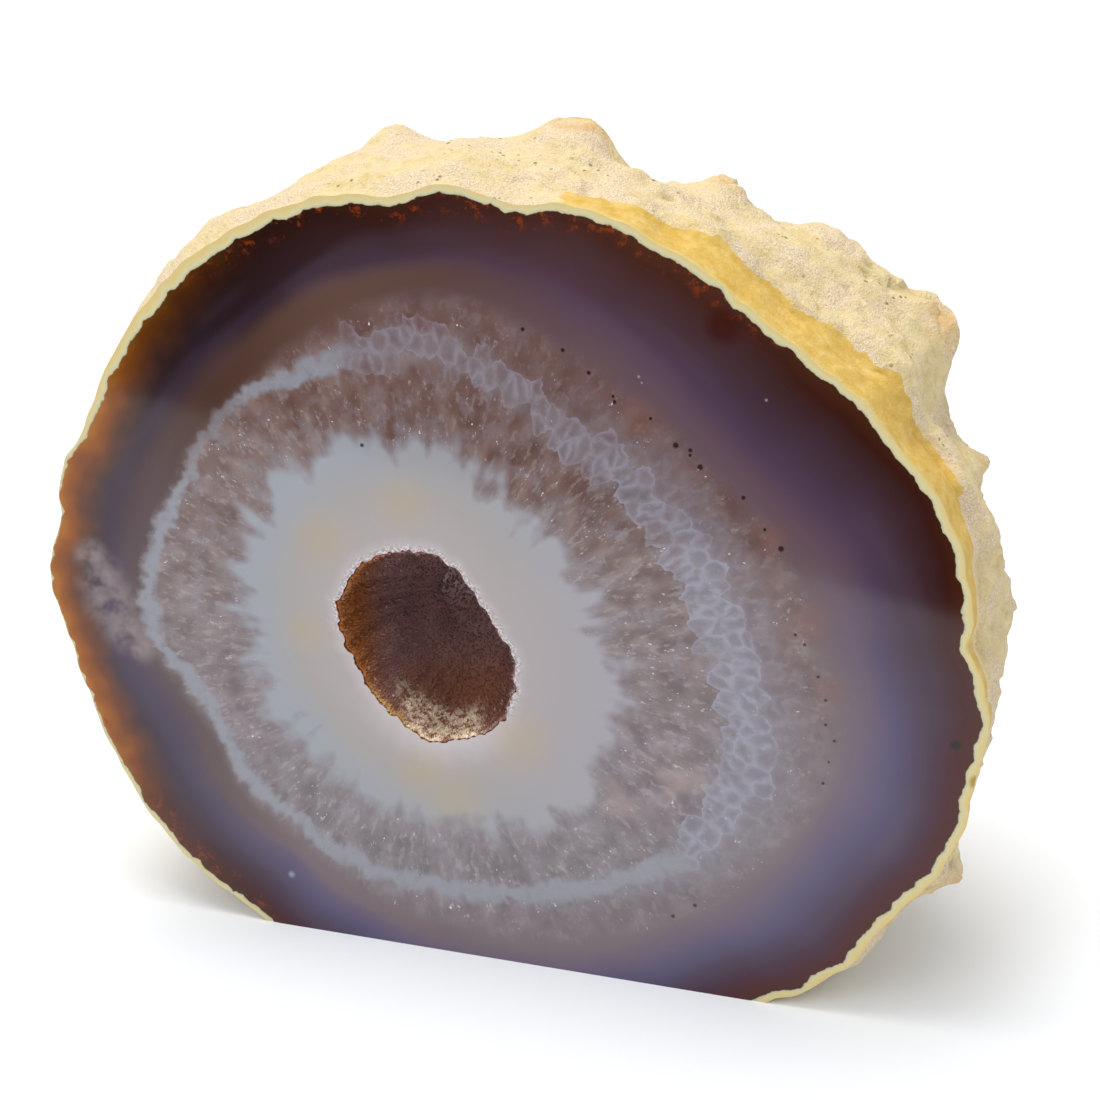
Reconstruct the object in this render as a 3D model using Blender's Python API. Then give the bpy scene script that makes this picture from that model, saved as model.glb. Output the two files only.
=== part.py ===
"""Agate nodule, sawn across and polished on the cut, with a second sawn face that it stands on.

It is two pieces: the stone, with a hollow open in its polished face, and the crust of small crystals
that lines the hollow. A place on the stone is given in millimetres as across, up and behind: along
the polished face, up it from the front edge of the base, and back from it into the stone.
"""

import math

import bmesh
import bpy
import numpy as np
from mathutils import Vector, noise

MM = 0.001

# The whole nodule: its depth behind the face, how far the face leans back, and how blunt it ends
DEPTH = 54.0
LEAN = math.radians(8.0)
BLUNTNESS = 2.4
MIDDLE = (-2.0, 45.0)

# Edge of the polished face as (across, up), clockwise from the left end of the base.
# The last four points lie below the base, where the saw took the rest of the nodule.
FACE_EDGE = [
    (-33, 0), (-42.5, 6), (-48, 11), (-52, 16.5), (-56, 23.5), (-58.5, 30.5), (-62, 39),
    (-63, 44.5), (-61.5, 51.5), (-61.5, 57), (-58.5, 63), (-54, 73.5), (-50, 80), (-44, 86.5),
    (-37.5, 91), (-30, 94.5), (-24, 96), (-18.5, 96.2), (-12.5, 98), (-7, 97.5), (-2.5, 96.8),
    (2.5, 97.3), (8, 96.3), (13.5, 94.2), (20, 91), (25, 87.6), (32, 82.8), (39, 78.2),
    (44, 72.8), (49, 67.4), (52.5, 60.5), (54.2, 53.5), (54.2, 49.3), (56.5, 44.5), (57.2, 39),
    (56, 32), (55.6, 27.5), (52.5, 20.5), (47.5, 14), (43, 7), (37.5, 2.3), (33, 0),
    (24, -6), (8, -11.5), (-12, -11), (-25, -5.5),
]

# How far the rind swells out past the face's edge behind the face, by angle round the middle:
# 0 is the right side and 90 the top
SWELL = [
    (-160, 2.5), (-120, 3), (-60, 4), (-40, 4.5), (-26, 2.5), (-12, 1), (0, 3), (15, 3.5), (30, 4), (40, 7),
    (55, 8), (70, 5), (80, 5), (90, 6.5), (105, 7), (115, 4.5), (127, 3), (145, 1.6), (165, 1.6),
]

# Knobs on the rind: angle, depth behind the face, height, half-width along and half-width in depth
KNOBS = [
    (38.5, 24, 4.6, 5, 7), (56, 24, 2.6, 5, 6), (69.5, 24, 4.2, 3.5, 5), (89.5, 21, 5.0, 4.5, 6),
    (112, 18, 2.4, 3.5, 6), (22.5, 20, 2.8, 3, 5), (5, 18, 2.2, 6, 8), (-28, 10, 3.8, 3.5, 6),
    (140, 32, 2.0, 7, 8), (165, 28, 2.2, 8, 7), (-150, 22, 1.8, 7, 7), (75, 40, 2.5, 8, 6),
    (20, 40, 2.2, 9, 6), (120, 42, 2.0, 8, 6), (-10, 36, 1.6, 7, 7),
]

# The strip along the upper right where the outer crust has come off: it ends at a small ledge
CHIP_DEPTH = [(-30, 4), (-2, 3), (4, 5), (20, 6.5), (40, 7.5), (55, 5.5), (70, 4.5), (84, 3), (120, 4)]
LEDGE_HEIGHT = [(-30, 0), (-4, 0), (6, 0.8), (40, 1.3), (70, 0.9), (84, 0.3), (92, 0), (180, 0)]
LEDGE_RUN = 0.7

# Roughness of the rind: height of the broad bumps and of the small ones, and their sizes
BROAD_BUMP, BROAD_SIZE = 2.2, 17.0
SMALL_BUMP, SMALL_SIZE = 1.1, 6.0
SMOOTH_EDGE = 5.0

# Mouth of the hollow in the face, clockwise from its top
MOUTH_EDGE = [
    (-14, 52.7), (-18.3, 51.9), (-21.8, 49.4), (-23.9, 45.4), (-23.8, 41.4), (-22.1, 37.6),
    (-18.6, 32.6), (-15.6, 30.1), (-11.6, 28.1), (-7.1, 29.1), (-3.6, 30.8), (-1.6, 33.5),
    (-0.9, 37.8), (-1.3, 41.2), (-3.4, 44), (-5.7, 47.2), (-8.4, 50.4), (-11.2, 52.2),
]
HOLLOW_MIDDLE = (-12.5, 40.5)
# Depth of each ring of the hollow's wall, and its width as a part of the mouth's
HOLLOW_RINGS = [(2.5, 1.02), (6, 1.04), (10, 1.0), (14, 0.88), (17.5, 0.68), (20, 0.4)]
HOLLOW_DEPTH = 21.0
WALL_WOBBLE, WOBBLE_SIZE = 0.1, 4.0

# The crust in the hollow: its gap to the wall, its thickness, and the crystals' height
CRUST_GAP = 0.4
CRUST_RIM = 0.5
CRUST_THICKNESS = 1.1
CRYSTAL_HEIGHT = 1.0
CRYSTAL_JITTER = 0.28

# Fineness of the meshes: points round the face's edge, rings to the back, points round the mouth,
# and how much closer together the rings are in front
EDGE_POINTS = 108
BACK_RINGS = 26
MOUTH_POINTS = 36
RING_CROWDING = 1.4

# The edge's small wiggles die out within this part of the depth, averaged over so many points each way
CALM_DEPTH = 0.6
CALM_POINTS = 9

# The tables by angle are rounded off over so many degrees each way
CORNER_ROUNDING = 6.0

# A point this near to a sawn face lies on it
ON_PLANE = 0.001

SEED = 7


def smooth_loop(points, steps=12):
    """Points of a smooth closed curve through hand-placed ones."""
    points = np.array(points, float)
    before, after = np.roll(points, 1, axis=0), np.roll(points, -1, axis=0)
    beyond = np.roll(points, -2, axis=0)
    curve = []
    for step in range(steps):
        x = step / steps
        curve.append(
            points
            + 0.5 * (after - before) * x
            + (before - 2.5 * points + 2 * after - 0.5 * beyond) * x**2
            + (1.5 * points - 0.5 * before - 1.5 * after + 0.5 * beyond) * x**3
        )
    return np.stack(curve, axis=1).reshape(-1, 2)


def evenly_spaced(points, count):
    """The closed curve again, as this many points an equal way apart."""
    closed = np.vstack([points, points[:1]])
    way = np.concatenate([[0], np.cumsum(np.linalg.norm(np.diff(closed, axis=0), axis=1))])
    places = np.arange(count) / count * way[-1]
    return np.stack([np.interp(places, way, closed[:, i]) for i in (0, 1)], axis=1)


def calmed(points, reach):
    """The closed curve with each point averaged with its neighbours, so many each way."""
    return sum(np.roll(points, k, axis=0) for k in range(-reach, reach + 1)) / (2 * reach + 1)


def angles_about(points, middle):
    return np.degrees(np.arctan2(points[:, 1] - middle[1], points[:, 0] - middle[0]))


def by_angle(table, angles):
    """Values between those that a table gives at some angles, with its corners rounded off."""
    at, value = np.array(sorted(table), float).T
    about = np.linspace(-CORNER_ROUNDING, CORNER_ROUNDING, 7)
    return np.interp(np.asarray(angles)[..., None] + about, at, value, period=360).mean(axis=-1)


def bump(place, size, seed):
    """Smooth noise between about -1 and 1."""
    return noise.noise(Vector(place) / size + Vector((seed, 0, 0)))


def to_world(across, up, behind):
    """Leans the face back about the front edge of the base."""
    y = up * math.sin(LEAN) + behind * math.cos(LEAN)
    z = up * math.cos(LEAN) - behind * math.sin(LEAN)
    return Vector((across, y, z)) * MM


def ring_depths(chip_depth):
    """Depths of the rings from the face to the back: close together in front, with two at the ledge."""
    turn = (np.arange(1, BACK_RINGS) / BACK_RINGS) ** RING_CROWDING * math.pi / 2
    first = chip_depth + LEDGE_RUN
    rest = first + (DEPTH - first) * np.sin(turn) ** (2 / BLUNTNESS)
    return np.concatenate([[0, chip_depth * 0.5, chip_depth, first], rest])


def knob_height(angle, depth, radius):
    """Height of the knobs at one place on the rind."""
    height = 0.0
    for knob_angle, knob_depth, tall, along, deep in KNOBS:
        turn = (angle - knob_angle + 180) % 360 - 180
        reach = (math.radians(turn) * radius / along) ** 2 + ((depth - knob_depth) / deep) ** 2
        height += tall * math.exp(-reach)
    return height


def rind_point(edge_point, calm_point, depth, past_ledge):
    """One point of the rind: the face's edge drawn in towards the back, swollen and roughened."""
    middle = np.array(MIDDLE)
    part = min(depth / DEPTH, 1.0)
    calm = min(part / CALM_DEPTH, 1.0)
    spoke = edge_point * (1 - calm) + calm_point * calm - middle
    radius = np.linalg.norm(spoke)
    angle = math.degrees(math.atan2(spoke[1], spoke[0]))
    drawn_in = (1 - part**BLUNTNESS) ** (1 / BLUNTNESS)
    swell = float(by_angle(SWELL, angle)) * 4 * part * (1 - part)
    ledge = float(by_angle(LEDGE_HEIGHT, angle)) if past_ledge else 0.0
    fade = min(depth / SMOOTH_EDGE, 1.0) * drawn_in**0.5
    place = (*(spoke * drawn_in), depth)
    rough = BROAD_BUMP * bump(place, BROAD_SIZE, SEED) + SMALL_BUMP * bump(place, SMALL_SIZE, SEED + 5)
    out = swell + (ledge + knob_height(angle, depth, radius)) * drawn_in + rough * fade
    back = rough * (1 - drawn_in)
    flat = middle + spoke * drawn_in + spoke / radius * out
    return to_world(flat[0], flat[1], depth + back)


def hollow_rings(inset, rim_depth):
    """Rings of places down the hollow's wall, and its deepest place, all this far inside the wall."""
    mouth = evenly_spaced(smooth_loop(MOUTH_EDGE), MOUTH_POINTS)
    middle = np.array(HOLLOW_MIDDLE)
    spokes = mouth - middle
    rings = []
    for depth, width in [(0.0, 1.0)] + HOLLOW_RINGS:
        ring = []
        for spoke in spokes:
            length = np.linalg.norm(spoke)
            wobble = WALL_WOBBLE * bump((*spoke, depth), WOBBLE_SIZE, SEED) * min(depth, 1.0)
            flat = middle + spoke * (width * (1 + wobble) - inset / length)
            ring.append((flat[0], flat[1], max(depth - inset * (1 - width), rim_depth)))
        rings.append(ring)
    return rings, (middle[0], middle[1], HOLLOW_DEPTH - inset)


def add_ring(mesh, places):
    return [mesh.verts.new(to_world(*place)) for place in places]


def join_rings(mesh, first, second):
    """A band of four-sided faces between two rings with the same number of points."""
    count = len(first)
    return [
        mesh.faces.new((first[i], first[(i + 1) % count], second[(i + 1) % count], second[i]))
        for i in range(count)
    ]


def close_ring(mesh, ring, tip):
    """Triangles from a ring to one point."""
    count = len(ring)
    return [mesh.faces.new((ring[i], ring[(i + 1) % count], tip)) for i in range(count)]


def edges_between(ring):
    """The edges along a closed ring of points."""
    found = []
    for i, vert in enumerate(ring):
        after = ring[(i + 1) % len(ring)]
        found.append(next(edge for edge in vert.link_edges if after in edge.verts))
    return found


def add_rind(mesh):
    """The nodule's outside, from the face's edge to the back. Gives the ring at the edge."""
    edge = evenly_spaced(smooth_loop(FACE_EDGE), EDGE_POINTS)
    calm = calmed(edge, CALM_POINTS)
    chips = by_angle(CHIP_DEPTH, angles_about(edge, MIDDLE))
    depths = np.stack([ring_depths(chip) for chip in chips])
    rings = []
    for k in range(depths.shape[1]):
        ring = [
            mesh.verts.new(rind_point(edge[j], calm[j], depths[j, k], past_ledge=k >= 3))
            for j in range(EDGE_POINTS)
        ]
        rings.append(ring)
    for first, second in zip(rings, rings[1:]):
        join_rings(mesh, first, second)
    close_ring(mesh, rings[-1], mesh.verts.new(to_world(*MIDDLE, DEPTH)))
    return rings[0]


def add_hollow(mesh):
    """The wall of the hollow in the stone. Gives the ring at the mouth."""
    places, deepest = hollow_rings(inset=0.0, rim_depth=0.0)
    rings = [add_ring(mesh, ring) for ring in places]
    for first, second in zip(rings, rings[1:]):
        join_rings(mesh, first, second)
    close_ring(mesh, rings[-1], mesh.verts.new(to_world(*deepest)))
    return rings[0]


def saw_base(mesh):
    """Cuts off all that is below the table and closes the cut with a flat face."""
    everything = list(mesh.verts) + list(mesh.edges) + list(mesh.faces)
    cut = bmesh.ops.bisect_plane(
        mesh, geom=everything, dist=1e-7, plane_co=(0, 0, 0), plane_no=(0, 0, 1), clear_inner=True
    )
    edges = [item for item in cut["geom_cut"] if isinstance(item, bmesh.types.BMEdge)]
    bmesh.ops.triangle_fill(mesh, use_beauty=True, edges=edges, normal=(0, 0, -1))


def face_outwards(mesh):
    bmesh.ops.triangulate(mesh, faces=mesh.faces)
    bmesh.ops.recalc_face_normals(mesh, faces=mesh.faces)


def stone_mesh():
    mesh = bmesh.new()
    edge, mouth = add_rind(mesh), add_hollow(mesh)
    bmesh.ops.triangle_fill(
        mesh, use_beauty=True, edges=edges_between(edge) + edges_between(mouth),
        normal=(0, -math.cos(LEAN), math.sin(LEAN)),
    )
    saw_base(mesh)
    face_outwards(mesh)
    mark_sawn_faces(mesh)
    return mesh


def crust_mesh():
    """A closed bowl just inside the hollow's wall, with a small crystal point on each inner face."""
    chance = np.random.default_rng(SEED)
    mesh = bmesh.new()
    outer_places, outer_deepest = hollow_rings(CRUST_GAP, rim_depth=CRUST_RIM)
    inner_places, inner_deepest = hollow_rings(CRUST_GAP + CRUST_THICKNESS, rim_depth=CRUST_RIM)
    for ring in inner_places[1:]:
        for i, place in enumerate(ring):
            ring[i] = tuple(np.array(place) + chance.uniform(-1, 1, 3) * CRYSTAL_JITTER)
    outer = [add_ring(mesh, ring) for ring in outer_places]
    inner = [add_ring(mesh, ring) for ring in inner_places]
    for first, second in zip(outer, outer[1:]):
        join_rings(mesh, second, first)
    close_ring(mesh, outer[-1], mesh.verts.new(to_world(*outer_deepest)))
    join_rings(mesh, outer[0], inner[0])
    facets = []
    for first, second in zip(inner, inner[1:]):
        facets += join_rings(mesh, first, second)
    close_ring(mesh, inner[-1], mesh.verts.new(to_world(*inner_deepest)))
    bmesh.ops.recalc_face_normals(mesh, faces=mesh.faces)
    bmesh.ops.poke(mesh, faces=facets, offset=CRYSTAL_HEIGHT * MM, use_relative_offset=False)
    face_outwards(mesh)
    return mesh


def principled(name, colour, roughness, **values):
    """A plain material: colour, roughness and any other value of the shader by its socket's name."""
    material = bpy.data.materials.new(name)
    material.use_nodes = True
    shader = material.node_tree.nodes["Principled BSDF"]
    shader.inputs["Base Color"].default_value = (*colour, 1)
    shader.inputs["Roughness"].default_value = roughness
    shader.inputs["Metallic"].default_value = 0
    for socket, value in values.items():
        shader.inputs[socket].default_value = value
    return material


def mark_sawn_faces(mesh):
    """Gives the polished face and the base the second material, and leaves the rest with the first."""
    face_way = Vector((0, -math.cos(LEAN), math.sin(LEAN)))
    for face in mesh.faces:
        off_face = max(abs(vert.co.dot(face_way)) for vert in face.verts)
        off_base = max(abs(vert.co.z) for vert in face.verts)
        face.material_index = int(min(off_face, off_base) < ON_PLANE * MM)


def add_piece(name, mesh, shift, materials):
    """Turns a mesh into a named object, moved so that the origin is under the stone's middle."""
    bmesh.ops.translate(mesh, verts=mesh.verts, vec=shift)
    data = bpy.data.meshes.new(name)
    mesh.to_mesh(data)
    mesh.free()
    for material in materials:
        data.materials.append(material)
    piece = bpy.data.objects.new(name, data)
    bpy.context.scene.collection.objects.link(piece)
    return piece


def to_base_middle(mesh):
    """The move that puts the origin at the middle of the stone's box, on the table."""
    places = np.array([vert.co for vert in mesh.verts])
    middle = (places.min(axis=0) + places.max(axis=0)) / 2
    return Vector((-middle[0], -middle[1], 0))


for old in list(bpy.data.objects):
    bpy.data.objects.remove(old, do_unlink=True)

stone = stone_mesh()
shift = to_base_middle(stone)
rind = principled("cream rind", (0.75, 0.62, 0.36), 0.9)
agate = principled("polished agate", (0.30, 0.26, 0.28), 0.1, IOR=1.54)
quartz = principled("brown quartz crystals", (0.20, 0.10, 0.06), 0.2, IOR=1.54)
add_piece("agate_stone", stone, shift, [rind, agate])
add_piece("hollow_crystals", crust_mesh(), shift, [quartz])
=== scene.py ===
# %% [markdown]
# # An agate geode with a sawn base
# The real object is half of an agate nodule: one stone with a cream rind, a polished face full of
# bands, a hollow lined with small crystals, and a second sawn face that it stands on. This file
# dresses the plain solids of the stone and of the crystal crust. It could keep those solids and only
# paint them, but their edge is coarse and their rind has no grain, so the stone's skin is made again
# from the same measures with finer points, and the crust is grown again from small crystals.

# %% Load the frame
import math

import bmesh
import bpy
import numpy as np
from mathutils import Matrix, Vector, noise


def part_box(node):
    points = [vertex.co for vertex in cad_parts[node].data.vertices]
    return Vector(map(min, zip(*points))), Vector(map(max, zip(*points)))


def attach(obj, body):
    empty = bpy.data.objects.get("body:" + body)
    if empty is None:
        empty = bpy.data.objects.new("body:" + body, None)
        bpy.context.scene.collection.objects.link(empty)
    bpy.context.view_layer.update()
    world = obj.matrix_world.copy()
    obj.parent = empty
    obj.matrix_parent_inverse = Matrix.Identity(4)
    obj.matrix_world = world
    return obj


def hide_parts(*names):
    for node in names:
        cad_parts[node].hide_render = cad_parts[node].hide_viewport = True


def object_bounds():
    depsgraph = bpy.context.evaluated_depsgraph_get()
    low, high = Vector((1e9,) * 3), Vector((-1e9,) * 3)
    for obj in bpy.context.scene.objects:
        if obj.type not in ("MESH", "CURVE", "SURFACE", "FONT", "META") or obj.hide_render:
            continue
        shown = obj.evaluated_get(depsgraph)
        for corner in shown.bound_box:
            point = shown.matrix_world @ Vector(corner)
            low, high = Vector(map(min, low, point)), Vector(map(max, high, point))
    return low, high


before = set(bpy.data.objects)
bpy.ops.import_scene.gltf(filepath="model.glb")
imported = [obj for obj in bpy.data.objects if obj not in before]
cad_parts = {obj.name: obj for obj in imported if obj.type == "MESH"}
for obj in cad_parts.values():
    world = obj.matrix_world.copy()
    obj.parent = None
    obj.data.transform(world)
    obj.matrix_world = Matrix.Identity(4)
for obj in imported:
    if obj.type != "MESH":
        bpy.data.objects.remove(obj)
cad_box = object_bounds()
print("CAD box", cad_box)

# %% [markdown]
# ## The places on the stone
# Every place is given in millimetres as across, up and behind: along the polished face, up it from
# the front edge of the base, and back from it into the stone. One function turns such places into the
# frame's metres. The face leans back by 8 degrees, and the frame's box says where its lower edge is.

# %% From the stone's own measures to the frame
MM = 0.001
LEAN = math.radians(8.0)
stone_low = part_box("agate_stone")[0]
base_verts = [v.co for v in bpy.data.objects["agate_stone"].data.vertices if v.co.z < 1e-5]
front_verts = [co.x for co in base_verts if co.y < stone_low.y + 5e-5]
BASE_MIDDLE = Vector(((min(front_verts) + max(front_verts)) / 2, stone_low.y, 0))
print("front edge of the base", min(front_verts), max(front_verts), "at y", stone_low.y)


def put(name, data):
    """A new object in the scene, at the origin."""
    thing = bpy.data.objects.new(name, data)
    bpy.context.scene.collection.objects.link(thing)
    return thing


def to_frame(across, up, behind):
    """Places on the stone, as arrays in millimetres, to points of the frame in metres."""
    y = up * math.sin(LEAN) + behind * math.cos(LEAN)
    z = up * math.cos(LEAN) - behind * math.sin(LEAN)
    return np.stack([across, y, z], axis=-1) * MM + np.array(BASE_MIDDLE)


# %% [markdown]
# ## The camera
# The photo looks down on the stone from its right. The straight front edge of the base gives the
# angle: its slope in the picture fits a camera 16.5 degrees round to the right and 25.6 degrees up.
# The lens is long, as on a phone held well back, so the stone is hardly distorted.

# %% Place the camera
CAMERA_TURN = math.radians(16.5)
CAMERA_HEIGHT = math.radians(25.56)
CAMERA_PLACE = Vector((95.54, -305.18, 210.54)) * MM
LENS_MM, SENSOR_MM = 98.18, 36.0

lens = bpy.data.cameras.new("camera")
lens.sensor_width = SENSOR_MM
lens.lens = LENS_MM
lens.clip_start, lens.clip_end = 0.01, 10.0
camera = put("camera", lens)
camera.location = BASE_MIDDLE + CAMERA_PLACE
camera.rotation_euler = (math.pi / 2 - CAMERA_HEIGHT, 0, CAMERA_TURN)
bpy.context.scene.camera = camera

# %% [markdown]
# ## Outlines and tables
# The face's edge, the mouth of the hollow and the borders between the bands are closed curves. The
# first two are lists of places, and a smooth curve runs through them. The borders are tables of
# distance from the hollow's middle by angle, because every band runs round the hollow.

# %% The face's edge and the rind's measures, as in the solid
DEPTH = 54.0
BLUNTNESS = 2.4
MIDDLE = np.array((-2.0, 45.0))
FACE_EDGE = [
    (-33, 0), (-42.5, 6), (-48, 11), (-52, 16.5), (-56, 23.5), (-58.5, 30.5), (-62, 39),
    (-63, 44.5), (-61.5, 51.5), (-61.5, 57), (-58.5, 63), (-54, 73.5), (-50, 80), (-44, 86.5),
    (-37.5, 91), (-30, 94.5), (-24, 96), (-18.5, 96.2), (-12.5, 98), (-7, 97.5), (-2.5, 96.8),
    (2.5, 97.3), (8, 96.3), (13.5, 94.2), (20, 91), (25, 87.6), (32, 82.8), (39, 78.2),
    (44, 72.8), (49, 67.4), (52.5, 60.5), (54.2, 53.5), (54.2, 49.3), (56.5, 44.5), (57.2, 39),
    (56, 32), (55.6, 27.5), (52.5, 20.5), (47.5, 14), (43, 7), (37.5, 2.3), (33, 0),
    (24, -6), (8, -11.5), (-12, -11), (-25, -5.5),
]
SWELL = [
    (-160, 2.5), (-120, 3), (-60, 4), (-40, 4.5), (-26, 2.5), (-12, 1), (0, 3), (15, 3.5), (30, 4),
    (40, 7), (55, 8), (70, 5), (80, 5), (90, 6.5), (105, 7), (115, 4.5), (127, 3), (145, 1.6), (165, 1.6),
]
KNOBS = [
    (38.5, 24, 4.6, 5, 7), (56, 24, 2.6, 5, 6), (69.5, 24, 4.2, 3.5, 5), (89.5, 21, 5.0, 4.5, 6),
    (112, 18, 2.4, 3.5, 6), (22.5, 20, 2.8, 3, 5), (5, 18, 2.2, 6, 8), (-28, 10, 3.8, 3.5, 6),
    (140, 32, 2.0, 7, 8), (165, 28, 2.2, 8, 7), (-150, 22, 1.8, 7, 7), (75, 40, 2.5, 8, 6),
    (20, 40, 2.2, 9, 6), (120, 42, 2.0, 8, 6), (-10, 36, 1.6, 7, 7),
]
CHIP_DEPTH = [(-30, 4), (-2, 3), (4, 5), (20, 6.5), (40, 7.5), (55, 5.5), (70, 4.5), (84, 3), (120, 4)]
LEDGE_HEIGHT = [(-30, 0), (-4, 0), (6, 0.8), (40, 1.3), (70, 0.9), (84, 0.3), (92, 0), (180, 0)]
LEDGE_RUN = 0.7
BROAD_BUMP, BROAD_SIZE = 2.2, 17.0
SMALL_BUMP, SMALL_SIZE = 1.1, 6.0
SMOOTH_EDGE = 5.0
CALM_DEPTH = 0.6
CORNER_ROUNDING = 6.0
SEED = 7

# %% The mouth of the hollow, as in the solid
HOLLOW_MIDDLE = np.array((-12.5, 40.5))
MOUTH_EDGE = [
    (-14, 52.7), (-18.3, 51.9), (-21.8, 49.4), (-23.9, 45.4), (-23.8, 41.4), (-22.1, 37.6),
    (-18.6, 32.6), (-15.6, 30.1), (-11.6, 28.1), (-7.1, 29.1), (-3.6, 30.8), (-1.6, 33.5),
    (-0.9, 37.8), (-1.3, 41.2), (-3.4, 44), (-5.7, 47.2), (-8.4, 50.4), (-11.2, 52.2),
]
HOLLOW_RINGS = [(0, 1), (2.5, 1.02), (6, 1.04), (10, 1.0), (14, 0.88), (17.5, 0.68), (20, 0.4)]
HOLLOW_DEPTH = 21.0

# %% Borders of the bands: distance from the hollow's middle by angle
WHITE_EDGE = [
    (-178, 23.3), (-158, 22.9), (-140, 21.3), (-120, 22), (-100, 22.8), (-87, 23), (-71, 23.9),
    (-54, 26.4), (-41, 28.1), (-30, 26.8), (-15, 25), (5, 24.8), (16, 23.6), (35, 22.7), (57, 21.2),
    (71, 23.6), (85, 25.6), (110, 27), (127, 28.2), (143, 27.2), (155, 26), (170, 24.2),
]
LACE_LINE = [
    (-174, 36.4), (-164, 32.5), (-151, 30.4), (-137, 31.4), (-122, 30.4), (-107, 31.5), (-90, 32),
    (-78, 32.4), (-60, 34.9), (-46, 37.6), (-35, 40.8), (-20, 42.3), (-5, 40.8), (5, 38.5), (17, 37),
    (30, 36.1), (42, 35.1), (54, 34), (64, 34), (77, 35.9), (90, 38.2), (105, 38), (117, 37.4),
    (130, 38.4), (149, 36.7), (165, 37), (176, 37.6),
]
LACE_WIDTH = [
    (-175, 1.6), (-150, 1.3), (-120, 1.3), (-90, 1.5), (-60, 1.5), (-38, 1.8), (-28, 3.0), (-16, 3.9),
    (0, 3.6), (30, 3.2), (50, 2.9), (70, 2.8), (95, 3.0), (108, 2.4), (120, 1.2), (150, 1.1),
]
TAN_LINE = [
    (-175, 38.2), (-160, 34), (-150, 32.5), (-135, 33.5), (-120, 33), (-105, 35), (-83, 37.8),
    (-67, 41.2), (-53, 44.1), (-39, 47.3), (-25, 50.6), (-14, 53), (-5, 53), (6, 50.6), (19, 48.7),
    (27, 47.3), (39, 44), (56, 43), (70, 43.5), (85, 45.6), (99, 44.4), (110, 42.4), (125, 40),
    (140, 38.8), (155, 38.2), (170, 38.6),
]
RIND_WIDTH = [
    (-180, 0.15), (-165, 0.2), (-150, 0.6), (-120, 0.7), (-90, 0.8), (-45, 1.1), (-20, 1.1), (0, 1.1),
    (45, 1.0), (90, 1.0), (112, 1.4), (130, 1.6), (148, 1.1), (156, 0.7), (161, 0.25), (172, 0.12),
]


def smooth_loop(points, steps=24):
    """Points of a smooth closed curve through given ones."""
    points = np.array(points, float)
    before, after = np.roll(points, 1, axis=0), np.roll(points, -1, axis=0)
    beyond = np.roll(points, -2, axis=0)
    curve = []
    for step in range(steps):
        x = step / steps
        curve.append(
            points
            + 0.5 * (after - before) * x
            + (before - 2.5 * points + 2 * after - 0.5 * beyond) * x**2
            + (1.5 * points - 0.5 * before - 1.5 * after + 0.5 * beyond) * x**3
        )
    return np.stack(curve, axis=1).reshape(-1, 2)


def evenly_spaced(points, count):
    """The closed curve again, as this many points an equal way apart."""
    closed = np.vstack([points, points[:1]])
    way = np.concatenate([[0], np.cumsum(np.linalg.norm(np.diff(closed, axis=0), axis=1))])
    places = np.arange(count) / count * way[-1]
    return np.stack([np.interp(places, way, closed[:, i]) for i in (0, 1)], axis=1)


def angles_about(points, middle):
    return np.degrees(np.arctan2(points[..., 1] - middle[1], points[..., 0] - middle[0]))


def by_angle(table, angles, rounding=CORNER_ROUNDING):
    """Values between those that a table gives at some angles, with its corners rounded off."""
    at, value = np.array(sorted(table), float).T
    about = np.linspace(-rounding, rounding, 7)
    return np.interp(np.asarray(angles)[..., None] + about, at, value, period=360).mean(axis=-1)


def grain(places, size, seed):
    """Smooth noise between about -0.5 and 0.5 at many places, with lumps of this size."""
    places = np.asarray(places, float)
    spots = np.zeros((places[..., 0].size, 3))
    spots[:, :places.shape[-1]] = places.reshape(-1, places.shape[-1]) / size
    spots[:, 0] += seed
    return np.array([noise.noise(spot) for spot in spots.tolist()]).reshape(places.shape[:-1])


# %% [markdown]
# ## The rind
# The rind is the weathered outside of the nodule: swollen knobs, a strip at the upper right where
# the outer crust has broken off down to a smooth yellow layer, and a grainy, pitted crust elsewhere.
# Sculpting it by hand would be the usual way. Here it is a sheet of points by formula instead: the
# face's edge is drawn in towards the back, swollen, and given knobs, flaky steps, pits and grain,
# so its big forms stay exactly those of the solid.

# %% Points of the rind
COLUMNS = 600
BACK_RINGS = 96
RING_CROWDING = 1.35
FLAKE_SIZE, FLAKE_STEP = 11.0, 0.55
LUMP_SIZE, LUMP_HEIGHT = 2.6, 1.6
GRAIN_SIZE, GRAIN_HEIGHT = 1.1, 0.3
PITS = 150
FILLED_OUT = [(92, 0), (110, 0.8), (128, 1.2), (144, 0.8), (158, 0)]
DETAIL_PART = [(-150, 0.5), (-90, 1), (85, 1), (105, 0.4), (170, 0.4)]
PIT_RADIUS, PIT_DEPTH = (0.5, 1.5), (0.25, 0.7)
EDGE_ROUGHNESS, EDGE_LUMPS = 0.4, 3.0
STRIP_RINGS = 8
YELLOW_REACH = [(-30, 0), (0, 1.5), (15, 3), (30, 9), (180, 9)]
YELLOW_SPOTS = (-4.0, -15.0)
SPOT_TURN, SPOT_DEPTH, SPOT_DEEP = 2.2, 1.2, 1.4

edge = evenly_spaced(smooth_loop(FACE_EDGE), COLUMNS)
edge += np.stack([grain(edge, EDGE_LUMPS, SEED + i) for i in (0, 3)], axis=1) * EDGE_ROUGHNESS
edge_angles = angles_about(edge, MIDDLE)
calm_reach = COLUMNS // 12
calm_edge = sum(np.roll(edge, k, axis=0) for k in range(-calm_reach, calm_reach + 1)) / (2 * calm_reach + 1)


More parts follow.
